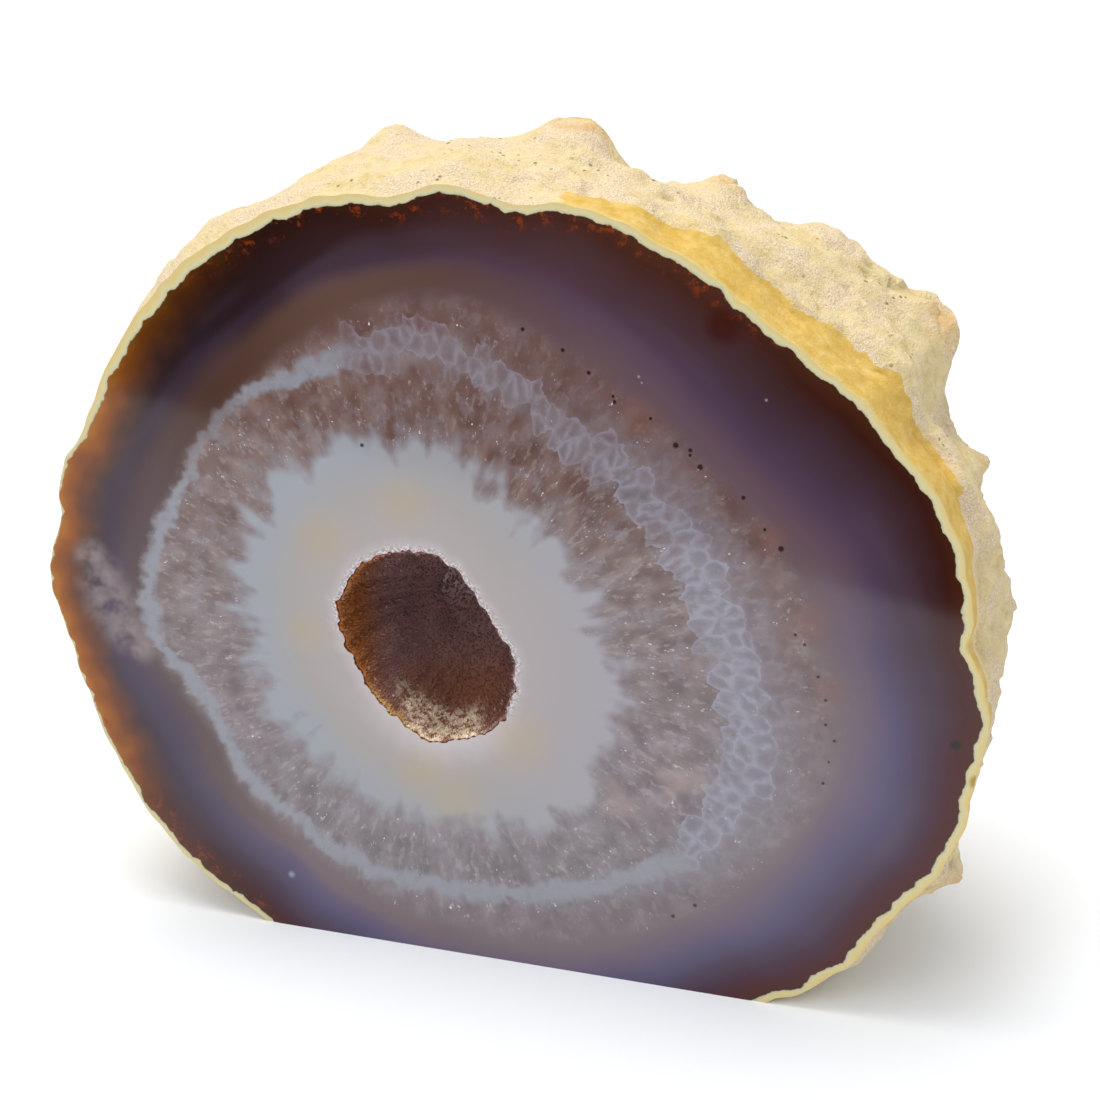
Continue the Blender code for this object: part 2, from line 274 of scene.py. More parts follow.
def ring_depths(chip_depth):
    """Depths of the rings at every column: even across the strip, two at its ledge, then to the back."""
    strip = np.linspace(0, 1, STRIP_RINGS)[None, :] * chip_depth[:, None]
    first = chip_depth[:, None] + LEDGE_RUN
    turn = (np.arange(1, BACK_RINGS) / BACK_RINGS) ** RING_CROWDING * math.pi / 2
    back = first + (DEPTH - first) * np.sin(turn)[None, :] ** (2 / BLUNTNESS)
    return np.concatenate([strip, first, back], axis=1), strip.shape[1]


def knob_heights(angle, depth, radius):
    """Height of the knobs all over the rind."""
    height = np.zeros_like(depth)
    for knob_angle, knob_depth, tall, along, deep in KNOBS:
        turn = np.radians((angle - knob_angle + 180) % 360 - 180)
        height += tall * np.exp(-((turn * radius / along) ** 2) - ((depth - knob_depth) / deep) ** 2)
    return height


def smooth_step(value, low, high):
    part = np.clip((value - low) / (high - low), 0, 1)
    return part * part * (3 - 2 * part)


chance = np.random.default_rng(SEED)
chips = by_angle(CHIP_DEPTH, edge_angles) * (1 + 0.22 * grain(edge, 7.0, 31) + 0.1 * grain(edge, 2.0, 37))
depths, strip_rings = ring_depths(chips)
part = np.minimum(depths / DEPTH, 1)
calm = np.minimum(part / CALM_DEPTH, 1)[..., None]
spoke = edge[:, None, :] * (1 - calm) + calm_edge[:, None, :] * calm - MIDDLE
radius = np.linalg.norm(spoke, axis=-1)
angle = angles_about(spoke, (0, 0))
drawn_in = (1 - part**BLUNTNESS) ** (1 / BLUNTNESS)
swell = by_angle(SWELL, angle) * 4 * part * (1 - part)
past_ledge = (np.arange(depths.shape[1]) >= strip_rings)[None, :]
ledge_height = by_angle(LEDGE_HEIGHT, angle)
knobs = knob_heights(angle, depths, radius) * drawn_in
fade = np.minimum(depths / SMOOTH_EDGE, 1) * drawn_in**0.5
places = np.concatenate([spoke * drawn_in[..., None], depths[..., None]], axis=-1)
rough = BROAD_BUMP * grain(places, BROAD_SIZE, SEED) + SMALL_BUMP * grain(places, SMALL_SIZE, SEED + 5)
print("rind points", depths.shape)

# %% Flaky steps, lumps on the knobs, pits and grain
on_crust = np.where(past_ledge, 1.0, 0.0) * smooth_step(depths, 0.5, 3.0)
flakes = smooth_step(grain(places, FLAKE_SIZE, 11), 0.03, 0.07)
flakes += smooth_step(grain(places, 6.5, 13), 0.1, 0.14)
lumps = np.abs(grain(places, LUMP_SIZE, 17)) * smooth_step(knobs, 0.6, 3.0)
fine = grain(places, GRAIN_SIZE, 19) + 0.5 * grain(places, 0.5, 23)
detail = FLAKE_STEP * flakes + LUMP_HEIGHT * lumps + GRAIN_HEIGHT * fine
detail -= FLAKE_STEP
detail *= on_crust
detail += 0.12 * grain(places, 1.6, 29) * smooth_step(depths, 0.2, 1.0) * (1 - on_crust)

pits = np.zeros_like(depths)
for _ in range(PITS):
    middle = places[chance.integers(COLUMNS), chance.integers(strip_rings + 3, depths.shape[1])]
    wide, deep = chance.uniform(*PIT_RADIUS), chance.uniform(*PIT_DEPTH)
    near = ((places - middle) ** 2).sum(axis=-1) / wide**2
    pits = np.maximum(pits, deep * np.exp(-near))
detail -= pits * smooth_step(depths, 6.0, 9.0)
detail *= by_angle(DETAIL_PART, angle)
detail += by_angle(FILLED_OUT, angle) * smooth_step(depths, 0.2, 3.0)

out = swell + np.where(past_ledge, ledge_height, 0) * drawn_in + knobs + rough * fade + detail * drawn_in**0.5
back = rough * (1 - drawn_in) + detail * (1 - drawn_in)
flat = MIDDLE + spoke * drawn_in[..., None] + spoke / radius[..., None] * out[..., None]
rind_points = to_frame(flat[..., 0], flat[..., 1], depths + back)
reach = by_angle(YELLOW_REACH, angle)
strip_mark = np.where(past_ledge, 0.0, 1.0) * smooth_step(ledge_height, 0.1, 0.4)
strip_mark *= smooth_step(reach - depths, -0.4, 0.4)
for at in YELLOW_SPOTS:
    turned, sunk = (angle - at) / SPOT_TURN, (depths - SPOT_DEPTH) / SPOT_DEEP
    strip_mark = np.maximum(strip_mark, np.exp(-(turned**2) - sunk**2))
print("highest detail", detail.max(), "deepest pit", pits.max())

# %% [markdown]
# ## The polished face
# The face is flat, so all of its life is colour: bands that run round the hollow. The points of its
# net run outwards from the mouth, and each one keeps its distance from every border between bands as
# an attribute. The finish reads those distances, so a band keeps its true course with no picture.

# %% Points of the face and their distances from the borders
FACE_RINGS = 28
mouth_loop = smooth_loop(MOUTH_EDGE)
edge_turn = angles_about(edge, HOLLOW_MIDDLE)
mouth_sizes = np.linalg.norm(mouth_loop - HOLLOW_MIDDLE, axis=1)
mouth_table = zip(angles_about(mouth_loop, HOLLOW_MIDDLE), mouth_sizes)
mouth_radius = by_angle(mouth_table, edge_turn, rounding=0.5)
turn_way = np.stack([np.cos(np.radians(edge_turn)), np.sin(np.radians(edge_turn))], axis=-1)
mouth_radius += 0.5 * grain(turn_way * 10, 1.3, 41) + 0.25 * grain(turn_way * 10, 0.45, 43)
edge_radius = np.linalg.norm(edge - HOLLOW_MIDDLE, axis=1)
ring_part = np.linspace(0, 1, FACE_RINGS + 1)[None, :]
face_radius = mouth_radius[:, None] * (1 - ring_part) + edge_radius[:, None] * ring_part
face_flat = HOLLOW_MIDDLE + turn_way[:, None, :] * face_radius[..., None]
face_points = to_frame(face_flat[..., 0], face_flat[..., 1], np.zeros(face_radius.shape))


def face_marks(turns, radii, mouth, rim):
    """Distances of places on the face, outwards from each border, in millimetres."""
    white, lace, tan = (by_angle(table, turns, 2.0)[:, None] for table in (WHITE_EDGE, LACE_LINE, TAN_LINE))
    rind = rim[:, None] - by_angle(RIND_WIDTH, turns)[:, None]
    return {
        "from_mouth": radii - mouth[:, None],
        "from_white": radii - white,
        "from_lace": radii - lace,
        "lace_width": np.broadcast_to(by_angle(LACE_WIDTH, turns)[:, None], radii.shape),
        "from_tan": radii - tan,
        "from_rind": radii - rind,
    }


marks = face_marks(edge_turn, face_radius, mouth_radius, edge_radius)
print("face points", face_points.shape, "bands read", sorted(marks))

# %% [markdown]
# ## The stone as one skin
# Rind, face, hollow wall and base are joined into one closed mesh, because the stone is one piece.
# The base is cut last, as the saw does it: everything under the table is taken away and the cut is
# closed with a flat face. Points that would stand outside the solid's box are held to it.

# %% Build the net of faces
RIND, FACE, WALL, BASE = range(4)
SHARP_ANGLE = math.radians(50)


def ring_faces(first, second):
    """Four-sided faces between two rings of point numbers."""
    return np.stack([first, np.roll(first, -1), np.roll(second, -1), second], axis=1)


def tip_faces(ring, tip):
    return [(a, b, tip) for a, b in zip(ring, np.roll(ring, -1))]


def hollow_wall(ways, mouth, inset, rim_depth, finer=2):
    """Places on the hollow's wall in rings from the mouth down, this far inside the stone's wall."""
    at, width = np.array(HOLLOW_RINGS, float).T
    deep = np.linspace(0, at[-1], len(at) * finer)
    wide = np.interp(deep, at, width)
    rings = (mouth[:, None] - inset) * wide[None, :]
    places = HOLLOW_MIDDLE + ways[:, None, :] * rings[..., None]
    behind = np.maximum(deep - inset * (1 - wide), rim_depth)[None, :] + 0 * rings
    return to_frame(places[..., 0], places[..., 1], behind)


def one_place(across, up, behind):
    return to_frame(*np.array([[across], [up], [behind]]))


low, high = (np.array(corner) for corner in cad_box)
wall_points = hollow_wall(turn_way, mouth_radius, inset=0.0, rim_depth=0.0)
rind_points[..., :2] = np.clip(rind_points[..., :2], low[:2], high[:2])
rind_points[..., 2] = np.minimum(rind_points[..., 2], high[2])

# Rings of points in order: down the wall, out over the face, back over the rind
rings = list(wall_points.transpose(1, 0, 2)[:0:-1]) + list(face_points.transpose(1, 0, 2)[:-1])
first_rind = len(rings)
first_face = first_rind - FACE_RINGS
rings += list(rind_points.transpose(1, 0, 2))
numbers = np.arange(len(rings) * COLUMNS).reshape(len(rings), COLUMNS)
tips = np.concatenate([one_place(*HOLLOW_MIDDLE, HOLLOW_DEPTH), one_place(*MIDDLE, DEPTH)])
points = np.concatenate([np.concatenate(rings), tips])
wall_tip, rind_tip = len(points) - 2, len(points) - 1

faces = [tuple(reversed(face)) for face in tip_faces(numbers[0], wall_tip)]
faces += [tuple(f) for k in range(len(rings) - 1) for f in ring_faces(numbers[k], numbers[k + 1])]
faces += tip_faces(numbers[-1], rind_tip)
kinds = [WALL] * COLUMNS * (first_face + 1) + [FACE] * COLUMNS * FACE_RINGS
kinds += [RIND] * (len(faces) - len(kinds))
print("rings", len(rings), "points", len(points), "faces", len(faces))


# %% Give every point its marks, cut the base and close it
def ring_values(values, first):
    """One number for every point of the skin, from a sheet of them that starts at one ring."""
    full = np.zeros(len(points), np.float32)
    sheet = np.asarray(values).T
    full[first * COLUMNS:(first + len(sheet)) * COLUMNS] = sheet.reshape(-1)
    return full


skin = bpy.data.meshes.new("stone_skin")
skin.from_pydata(points.tolist(), [], faces)
skin.polygons.foreach_set("material_index", kinds)
rind_marks = {"strip": strip_mark, "knob": knobs, "pit": pits}
for sheets, first in ((marks, first_face), (rind_marks, first_rind)):
    for name, values in sheets.items():
        mark = skin.attributes.new(name, "FLOAT", "POINT")
        mark.data.foreach_set("value", ring_values(values, first))

net = bmesh.new()
net.from_mesh(skin)
bmesh.ops.recalc_face_normals(net, faces=net.faces)
cut = bmesh.ops.bisect_plane(
    net, geom=[*net.verts, *net.edges, *net.faces], dist=1e-7,
    plane_co=(0, 0, 0), plane_no=(0, 0, 1), clear_inner=True,
)
rim = [item for item in cut["geom_cut"] if isinstance(item, bmesh.types.BMEdge)]
sawn = bmesh.ops.triangle_fill(net, use_beauty=True, edges=rim, normal=(0, 0, -1))
for item in sawn["geom"]:
    if isinstance(item, bmesh.types.BMFace):
        item.material_index = BASE
bmesh.ops.triangulate(net, faces=net.faces)
bmesh.ops.recalc_face_normals(net, faces=net.faces)
for vert in net.verts:
    vert.co.z = max(vert.co.z, 0.0)
print("open edges", sum(not e.is_manifold for e in net.edges), "triangles", len(net.faces))
net.to_mesh(skin)
net.free()
skin.shade_smooth()
skin.set_sharp_from_angle(angle=SHARP_ANGLE)

stone = put("stone_skin", skin)

# %% [markdown]
# ## Trees of nodes
# The crystals and the finishes are both made by trees of nodes. Wiring them one by one is
# long-winded, so one helper adds a node with its settings and feeds its inputs. Colours are written
# as they look on a screen.

# %% Helpers for trees of nodes
def paint(code):
    """A colour as it looks on a screen, as red, green and blue light."""
    parts = [int(code[i:i + 2], 16) / 255 for i in (1, 3, 5)]
    return tuple(((c + 0.055) / 1.055) ** 2.4 if c > 0.04045 else c / 12.92 for c in parts) + (1.0,)


def feed(tree, socket, value):
    """Feeds an input from another node, or sets it to a value or a colour."""
    if isinstance(value, bpy.types.NodeSocket):
        tree.links.new(value, socket)
    elif isinstance(value, str) and value.startswith("#"):
        socket.default_value = paint(value)
    else:
        socket.default_value = value


def add_node(tree, kind, feeds, **settings):
    """A new node with its settings and its inputs fed."""
    node = tree.nodes.new(kind)
    for name, value in settings.items():
        setattr(node, name, value)
    for name, value in feeds.items():
        feed(tree, node.inputs[name], value)
    return node


# %% [markdown]
# ## The crystal crust
# The hollow is lined with a crust of small quartz points that grew inwards. Modelling thousands of
# crystals one by one is out of the question, and a bump texture has no sparkle at the rim. So a thin
# closed bowl is made first, and a tree of geometry nodes scatters one six-sided crystal over its
# inner side, each turned, tipped and sized at random, and makes them real mesh.

# %% The bowl
BOWL_COLUMNS = 150
BOWL_GAP, BOWL_RIM, BOWL_THICK = 0.05, 0.35, 0.2
every = slice(None, None, COLUMNS // BOWL_COLUMNS)


def bowl_side(inset):
    sheet = hollow_wall(turn_way[every], mouth_radius[every], inset, BOWL_RIM).transpose(1, 0, 2)
    return np.concatenate([sheet.reshape(-1, 3), one_place(*HOLLOW_MIDDLE, HOLLOW_DEPTH - inset)]), len(sheet)


outer, bowl_rings = bowl_side(BOWL_GAP)
inner, _ = bowl_side(BOWL_GAP + BOWL_THICK)
side = np.arange(bowl_rings * BOWL_COLUMNS).reshape(bowl_rings, BOWL_COLUMNS)
bowl_faces = []
for start in (0, len(outer)):
    around = [ring_faces(side[k], side[k + 1]) for k in range(bowl_rings - 1)]
    around.append(np.array(tip_faces(side[-1], len(outer) - 1)))
    bowl_faces += [tuple(f + start) for ring in around for f in ring]
bowl_faces += [tuple(f) for f in ring_faces(side[0], side[0] + len(outer))]
inner_marks = [False] * side.size + [True] * (len(bowl_faces) - side.size)
bowl_mesh = bpy.data.meshes.new("crystal_crust")
bowl_mesh.from_pydata(np.concatenate([outer, inner]).tolist(), [], bowl_faces)
bowl_mesh.attributes.new("inner", "BOOLEAN", "FACE").data.foreach_set("value", inner_marks)
net = bmesh.new()
net.from_mesh(bowl_mesh)
bmesh.ops.recalc_face_normals(net, faces=net.faces)
net.to_mesh(bowl_mesh)
net.free()
crust = put("crystal_crust", bowl_mesh)
print("bowl faces", len(bowl_faces))

# %% One crystal
def crystal_mesh():
    """The six-sided tip of a quartz crystal one unit tall, with its foot a little under the origin."""
    around = [2 * math.pi * k / 6 for k in range(6)]
    spread = [0.74, 0.64, 0.78, 0.68, 0.76, 0.66]
    foot = [(r * math.cos(a), r * math.sin(a), -0.3) for a, r in zip(around, spread)]
    sides = [(k, (k + 1) % 6, 6) for k in range(6)]
    mesh = bpy.data.meshes.new("quartz_point")
    mesh.from_pydata(foot + [(0.06, -0.04, 1.0)], [], sides + [tuple(range(5, -1, -1))])
    return mesh


point = put("quartz_point", crystal_mesh())
print("faces of one crystal", len(point.data.polygons))

# %% The tree that scatters the crystals
CRYSTALS_PER_MM2 = 8.0
CRYSTAL_HEIGHTS_MM = (0.18, 0.42)
TIP_LEAN = 0.45


def scatter_tree(crystal, finish):
    """Crystals at random points of the bowl's inner side, each turned, tipped and sized by chance."""
    tree = bpy.data.node_groups.new("scatter_crystals", "GeometryNodeTree")
    for way in ("INPUT", "OUTPUT"):
        tree.interface.new_socket("Geometry", in_out=way, socket_type="NodeSocketGeometry")
    bowl = tree.nodes.new("NodeGroupInput").outputs["Geometry"]

    def add(kind, feeds, output=0, **settings):
        return add_node(tree, kind, feeds, **settings).outputs[output]

    inner_side = add("GeometryNodeInputNamedAttribute", {"Name": "inner"}, "Attribute", data_type="BOOLEAN")
    wanted = {"Mesh": bowl, "Selection": inner_side, "Density": CRYSTALS_PER_MM2 / MM**2, "Seed": SEED}
    scatter = add_node(tree, "GeometryNodeDistributePointsOnFaces", wanted).outputs

    # each crystal stands on the wall, tipped and turned
    wanted = {0: (-1, -1, -1), 1: (1, 1, 1), "Seed": SEED}
    tip = add("FunctionNodeRandomValue", wanted, data_type="FLOAT_VECTOR")
    tip = add("ShaderNodeVectorMath", {0: tip, "Scale": TIP_LEAN}, operation="SCALE")
    tipped = add("ShaderNodeVectorMath", {0: scatter["Normal"], 1: tip})
    stand = add("FunctionNodeAlignRotationToVector", {"Vector": tipped}, axis="Z")
    spin = add("FunctionNodeRandomValue", {2: 0, 3: math.tau}, 1, data_type="FLOAT")
    turned = add("FunctionNodeAxisAngleToRotation", {"Axis": (0, 0, 1), "Angle": spin})
    stand = {"Rotation": stand, "Rotate By": turned}
    pose = add("FunctionNodeRotateRotation", stand, rotation_space="LOCAL")

    # copies at the points, joined to the bowl, made real mesh and given the finish
    smallest, largest = (height * MM for height in CRYSTAL_HEIGHTS_MM)
    size = add("FunctionNodeRandomValue", {2: smallest, 3: largest}, 1, data_type="FLOAT")
    shape = add("GeometryNodeObjectInfo", {"Object": crystal}, "Geometry")
    wanted = {"Points": scatter["Points"], "Instance": shape, "Rotation": pose, "Scale": size}
    copies = add("GeometryNodeInstanceOnPoints", wanted)
    joined = add_node(tree, "GeometryNodeJoinGeometry", {"Geometry": bowl})
    tree.links.new(copies, joined.inputs["Geometry"])
    real = add("GeometryNodeRealizeInstances", {"Geometry": joined.outputs["Geometry"]})
    finished = add("GeometryNodeSetMaterial", {"Geometry": real, "Material": finish})
    add_node(tree, "NodeGroupOutput", {"Geometry": finished})
    return tree


# %% [markdown]
# ## Building finishes
# Every finish is a tree of shader nodes that ends in one shader. A small class holds such a tree, and
# each of its calls adds a node and gives back its output, so a finish reads like a sum.

# %% A class for finishes
class Finish:
    """A finish being built. Lengths are in millimetres."""

    def __init__(self, name):
        self.material = bpy.data.materials.new(name)
        self.material.use_nodes = True
        self.tree = self.material.node_tree
        self.shader = self.tree.nodes["Principled BSDF"]

    def add(self, kind, feeds, output=0, **settings):
        return add_node(self.tree, kind, feeds, **settings).outputs[output]

    def set(self, **values):
        """Feeds the shader's own sockets, named with spaces as underscores."""
        for name, value in values.items():
            feed(self.tree, self.shader.inputs[name.replace("_", " ")], value)

    def mark(self, name):
        """What the mesh says about a point under this name."""
        return self.add("ShaderNodeAttribute", {}, "Fac", attribute_name=name)

    def place(self):
        """Where a point is."""
        spot = self.add("ShaderNodeTexCoord", {}, "Object")
        return self.scaled(spot, 1 / MM)

    def stone_place(self):
        """Where a point is on the stone: across the face, up it and behind it."""
        spot = self.vector("SUBTRACT", self.place(), tuple(BASE_MIDDLE / MM))
        ways = (1, 0, 0), (0, math.sin(LEAN), math.cos(LEAN)), (0, math.cos(LEAN), -math.sin(LEAN))
        return [self.vector("DOT_PRODUCT", spot, way, output="Value") for way in ways]

    def spot(self, x, y, z=0.0):
        return self.add("ShaderNodeCombineXYZ", {0: x, 1: y, 2: z})

    def vector(self, how, *values, output=0):
        return self.add("ShaderNodeVectorMath", dict(enumerate(values)), output, operation=how)

    def scaled(self, spot, size):
        return self.add("ShaderNodeVectorMath", {0: spot, "Scale": size}, operation="SCALE")

    def part_of(self, spot, name):
        return self.add("ShaderNodeSeparateXYZ", {0: spot}, name)

    def sum(self, how, *values):
        return self.add("ShaderNodeMath", dict(enumerate(values)), operation=how)

    def times(self, first, *others):
        for other in others:
            first = self.sum("MULTIPLY", first, other)
        return first

    def less(self, first, second):
        return self.sum("SUBTRACT", first, second)

    def step(self, value, low, high, start=0, end=1):
        """A smooth change from one number to another while the value goes from low to high."""
        feeds = {0: value, 1: low, 2: high, 3: start, 4: end}
        return self.add("ShaderNodeMapRange", feeds, interpolation_type="SMOOTHSTEP")

    def grain(self, spot, size, detail=2, roughness=0.5, bend=0):
        """Soft noise between 0 and 1 with lumps of this size."""
        feeds = {"Vector": spot, "Scale": 1 / size, "Detail": detail, "Roughness": roughness}
        feeds["Distortion"] = bend
        return self.add("ShaderNodeTexNoise", feeds, "Fac")

    def swing(self, spot, size, detail=2, roughness=0.5):
        """The same noise between about -0.5 and 0.5."""
        return self.less(self.grain(spot, size, detail, roughness), 0.5)

    def cells(self, spot, size, feature="F1", output="Distance", flat="2D"):
        feeds = {"Vector": spot, "Scale": 1 / size, "Randomness": 1}
        return self.add("ShaderNodeTexVoronoi", feeds, output, feature=feature, voronoi_dimensions=flat)

    def ramp(self, value, *stops):
        node = add_node(self.tree, "ShaderNodeValToRGB", {0: value})
        knots = node.color_ramp.elements
        while len(knots) < len(stops):
            knots.new(1.0)
        for knot, (at, colour) in zip(knots, stops):
            knot.position = at
            knot.color = paint(colour)
        return node.outputs["Color"]

    def blend(self, part, first, second, how="MIX"):
        feeds = {"Factor": part, 6: first, 7: second}
        return self.add("ShaderNodeMix", feeds, 2, data_type="RGBA", blend_type=how)

    def over(self, colour, tint, *parts):
        """The colour with a tint laid over it, as much as all the parts multiplied."""
        return self.blend(self.times(*parts), colour, tint)

    def bump(self, height, distance, strength=1):
        feeds = {"Height": height, "Distance": distance * MM, "Strength": strength}
        return self.add("ShaderNodeBump", feeds)


# %% [markdown]
# ## The finish of the polished face
# Polished agate is a hard, glossy stone with its colour under the polish. The finish works from the
# hollow outwards: white chalcedony with a toothed edge, brown quartz with streaks that point at the
# hollow, a ribbon of pale blue lace, a tan line, and the deep violet-brown outer agate, which turns
# dark and rusty against the rind. Each edge is one border distance, made ragged by some noise. Where
# a tint has a place of its own, it comes and goes by the distance across the face and up it.

# %% Places on the face with a mark of their own: across, up and size in millimetres
YELLOW_TINTS = [(-16, 58.5, 5), (-26.5, 52.5, 5), (-28, 40.5, 4), (0, 30, 6), (-12.5, 24, 5), (-8, 20.5, 6)]
ORANGE_TINTS = [(30, 60, 3), (35, 50, 4), (13, 72.5, 4), (38, 42, 3)]
WHITE_CLOUD = [(-57.4, 46.5, 2.5), (-56, 43.5, 3.5), (-54.5, 40.5, 4), (-52.5, 37.5, 3.5), (-50.5, 35.5, 2.5)]
DARK_SPECKS = [
    (9.8, 75, 0.2), (10, 74.3, 0.25), (14.5, 72.8, 0.2), (17.7, 69.9, 0.35), (19.5, 69.5, 0.25),
    (19.5, 68.9, 0.2), (20.8, 67.6, 0.35), (26.2, 64.5, 0.25), (29, 60.9, 0.2), (31.1, 58.8, 0.35),
    (33.5, 48.4, 0.2), (34.7, 47.3, 0.2), (36.6, 43.5, 0.2), (37.7, 40.7, 0.2), (37.9, 37.6, 0.2),
    (39.1, 35.7, 0.2), (38.6, 32.9, 0.15), (38.1, 30.1, 0.2), (53.5, 37.3, 0.6), (20.6, 9.7, 0.25),
    (23.3, 11.6, 0.25), (-1.6, 81.9, 0.25), (3.4, 79.9, 0.25), (6.7, 77.5, 0.25), (-21.4, 65.3, 0.25),
]
RED_SPOT = [(22.6, 84.7, 3.0)]
OCHRE_SPOTS = [(55.0, 49.8, 1.5), (56.4, 33.0, 1.2)]
PINK_PATCHES = [(19.7, 28.0, 5.5), (12.5, 24.0, 4.0)]
FAINT_LACE = [(-41.0, 64.5, 9.0)]
WHITE_SPECKS = [(12.8, 77.7, 0.2), (13.2, 77, 0.15), (28.2, 76.6, 0.2), (-29.7, 7.1, 0.5)]
HOLLOW_SPOT = (float(HOLLOW_MIDDLE[0]), float(HOLLOW_MIDDLE[1]), 0.0)

# The rings on which noise is as wide as it says, and the lace's cells before they are bent
STREAK_RING, LACE_RING = 30.0, 36.0
LACE_CELL, LACE_STRETCH, LACE_WOBBLE = 1.75, 0.75, 1.2


# %% A finish that knows the face
class FaceFinish(Finish):
    """A finish that knows where a point lies on the polished face."""

    def __init__(self, name):
        super().__init__(name)
        self.across, self.up, _ = self.stone_place()
        self.flat = self.spot(self.across, self.up)
        spoke = self.vector("SUBTRACT", self.flat, HOLLOW_SPOT)
        self.radius = self.vector("LENGTH", spoke, output="Value")
        turn = self.scaled(spoke, self.sum("DIVIDE", STREAK_RING, self.radius))
        self.side, self.rise = self.part_of(turn, "X"), self.part_of(turn, "Y")
        self.way = self.times(self.sum("ARCTAN2", self.rise, self.side), LACE_RING)
        self.lobes = self.swing(self.flat, 5, 2, 0.6)

    def rays(self, squeeze):
        """Places squeezed along the spokes, so that noise read there points at the hollow."""
        return self.spot(self.side, self.rise, self.times(self.radius, squeeze))

    def patches(self, places, low, high, start=0, end=1):
        """A smooth change over round patches, from their edge, which counts as 1, to their middle."""
        nearest = 100.0
        for across, up, size in places:
            away = self.vector("DISTANCE", self.flat, (across, up, 0), output="Value")
            nearest = self.sum("MINIMUM", nearest, self.sum("DIVIDE", away, size))
        return self.step(nearest, low, high, start, end)


# %% Quartz and white chalcedony
def quartz_colour(f):
    """Brown and grey quartz with soft streaks that point at the hollow, and clusters of painted glints."""
    streak = f.grain(f.rays(0.55), 2.2, 1.6)
    low = f.ramp(streak, (0.3, "#6f666b"), (0.5, "#7d7479"), (0.7, "#8b8389"))
    high = f.ramp(streak, (0.3, "#5f4941"), (0.5, "#775f57"), (0.72, "#8d7a73"))
    colour = f.blend(f.step(f.up, 12, 75), low, high)
    colour = f.over(colour, "#8e868c", f.step(f.grain(f.flat, 2.6, 3, 0.6), 0.45, 0.66, 0, 0.65))
    dark = f.step(f.grain(f.flat, 1.3, 2, 0.6), 0.5, 0.68)
    colour = f.over(colour, "#5a4843", dark, f.step(f.up, 20, 70, 0.25, 0.4))
    frost = f.step(f.grain(f.rays(0.45), 0.75, 2, 0.6), 0.53, 0.68)
    colour = f.over(colour, "#a89e9c", frost, 0.4)
    # painted glints: pale and near-white specks in clusters over the quartz
    cluster = f.step(f.grain(f.flat, 3, 1), 0.48, 0.62)
    painted_glint = f.step(f.grain(f.rays(0.55), 0.55, 3, 0.65), 0.6, 0.7)
    colour = f.over(colour, "#c2b8b6", painted_glint, cluster, 0.75)
    colour = f.over(colour, "#694845", f.step(f.up, 45, 75, 0, 0.38))
    outside = f.blend(f.step(f.up, 20, 60), "#706367", "#664c4b")
    colour = f.over(colour, outside, f.step(f.mark("from_lace"), 0.5, 3.5, 0, 0.45))
    painted_spark = f.step(f.grain(f.rays(0.55), 0.4, 2, 0.7), 0.67, 0.73)
    return f.over(colour, "#eae2df", painted_spark, f.step(cluster, 0.3, 0.8), 0.95)


def white_colour(f, from_mouth, part):
    """White chalcedony, lilac near the hollow and on the right, with pale yellow tints."""
    colour = f.ramp(part, (0.0, "#bab0b2"), (0.14, "#a79f9d"), (0.5, "#a29b99"), (0.9, "#9b9ba0"))
    colour = f.over(colour, "#a39ca5", f.step(f.across, -8, 12, 0, 0.6))
    colour = f.over(colour, "#959ca5", f.step(f.across, -12, -28), f.step(part, 0.45, 0.9, 0, 0.5))
    colour = f.over(colour, "#c6bdc1", f.step(f.up, 36, 26), f.step(from_mouth, 4.5, 0.5), 0.5)
    colour = f.over(colour, "#b09f7a", f.patches(YELLOW_TINTS, 1, 0.1, 0, 0.4))
    right_side = f.times(f.step(f.across, -8, -4), f.step(f.up, 31, 34))
    where = f.sum("MAXIMUM", right_side, f.step(f.up, 38, 45))
    sugar = f.blend(f.step(f.grain(f.flat, 0.35, 2, 0.7), 0.42, 0.6), "#978a8c", "#d9d1d3")
    return f.over(colour, sugar, f.step(from_mouth, 1.1, 0.2), where, 0.8)


def inner_colour(f):
    """Quartz round white chalcedony with a toothed edge, and pinker patches at the lower right."""
    from_mouth, from_white = f.mark("from_mouth"), f.mark("from_white")
    teeth = f.swing(f.rays(0.28), 2.7, 1.4, 0.45)
    tall = f.sum("ADD", f.step(f.up, 24, 46, 5, 9), f.step(f.across, 0, 12, 0, 4))
    ragged = f.sum("MULTIPLY_ADD", teeth, tall, f.sum("MULTIPLY_ADD", f.lobes, 9, from_white))
    part = f.sum("DIVIDE", from_mouth, f.less(from_mouth, from_white))
    colour = f.over(quartz_colour(f), "#8f8a91", f.step(ragged, 0, 3.5, 0.5, 0))
    colour = f.over(colour, white_colour(f, from_mouth, part), f.step(ragged, -1.8, 1.4, 1, 0))
    patchy = f.patches(PINK_PATCHES, 1.1, 0.2), f.step(f.lobes, -0.1, 0.15)
    return f.over(colour, "#a8928f", *patchy, f.step(ragged, 1, 4, 0, 0.5))


